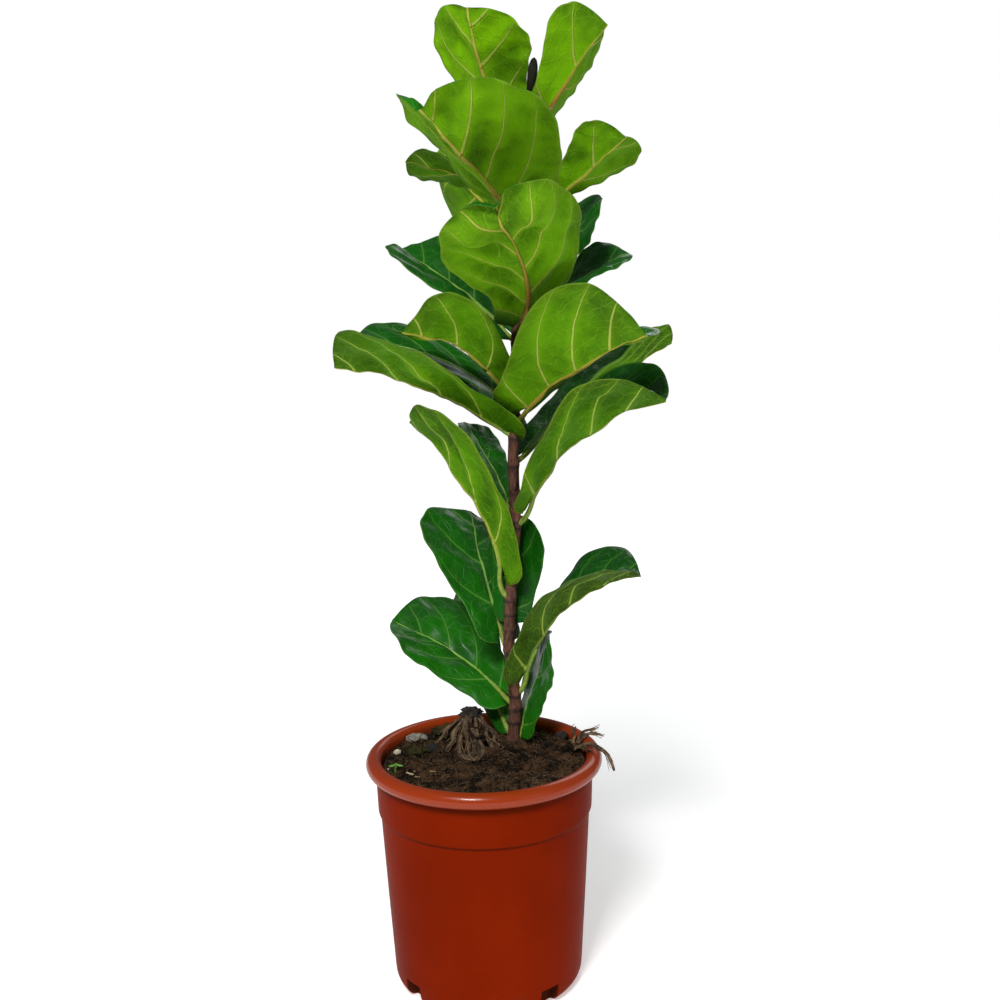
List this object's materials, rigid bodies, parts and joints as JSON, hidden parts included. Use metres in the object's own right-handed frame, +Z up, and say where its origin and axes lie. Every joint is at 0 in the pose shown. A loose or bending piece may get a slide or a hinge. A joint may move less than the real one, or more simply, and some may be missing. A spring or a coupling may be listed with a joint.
{
  "type": "potted fiddle leaf fig",
  "caption": "Upright young fiddle leaf fig with broad wavy leaves on one slim stem, growing in a round terracotta-coloured nursery pot of dark soil.",
  "frame": {"origin": "centre of the pot's flat foot, on the surface it stands on", "axes": "+Z up along the plant, -Y to the front where the palest leaf backs show, +X to the right seen from the front"},
  "size_m": [0.3158, 0.3447, 0.8421],
  "materials": {
    "pot": "satin moulded plastic, terracotta red-brown",
    "soil": null,
    "stem": "rough reddish-brown bark",
    "leaf": null,
    "husk": "dry papery brown sheath",
    "root": "dry fibrous root",
    "bark": "rough, nearly black",
    "stone": "dull grey",
    "pebble": "dull cream",
    "straw": "dry straw",
    "sprout": null
  },
  "bodies": {
    "root": {"pot": "pot", "soil": "soil", "root_tuft": "root", "root_sprig": "root", "root_stub": "bark", "grey_stone": "stone", "pale_pebble": "pebble", "bark_chip": "bark", "straw": "straw", "sprout": "sprout", "stem": "stem", "bud_sheath": "husk", "husk_low_right": "husk", "husk_low_left": "husk", "husk_middle_right": "husk", "leaf_01": "leaf", "leaf_02": "leaf", "leaf_03": "leaf", "leaf_04": "leaf", "leaf_05": "leaf", "leaf_06": "leaf", "leaf_07": "leaf", "leaf_08": "leaf", "leaf_09": "leaf", "leaf_10": "leaf", "leaf_11": "leaf", "leaf_12": "leaf", "leaf_13": "leaf", "leaf_14": "leaf", "leaf_15": "leaf", "leaf_16": "leaf", "leaf_17": "leaf", "leaf_18": "leaf", "leaf_19": "leaf", "leaf_20": "leaf", "leaf_21": "leaf", "leaf_22": "leaf", "leaf_23": "leaf", "leaf_24": "leaf"}
  },
  "joints": []
}
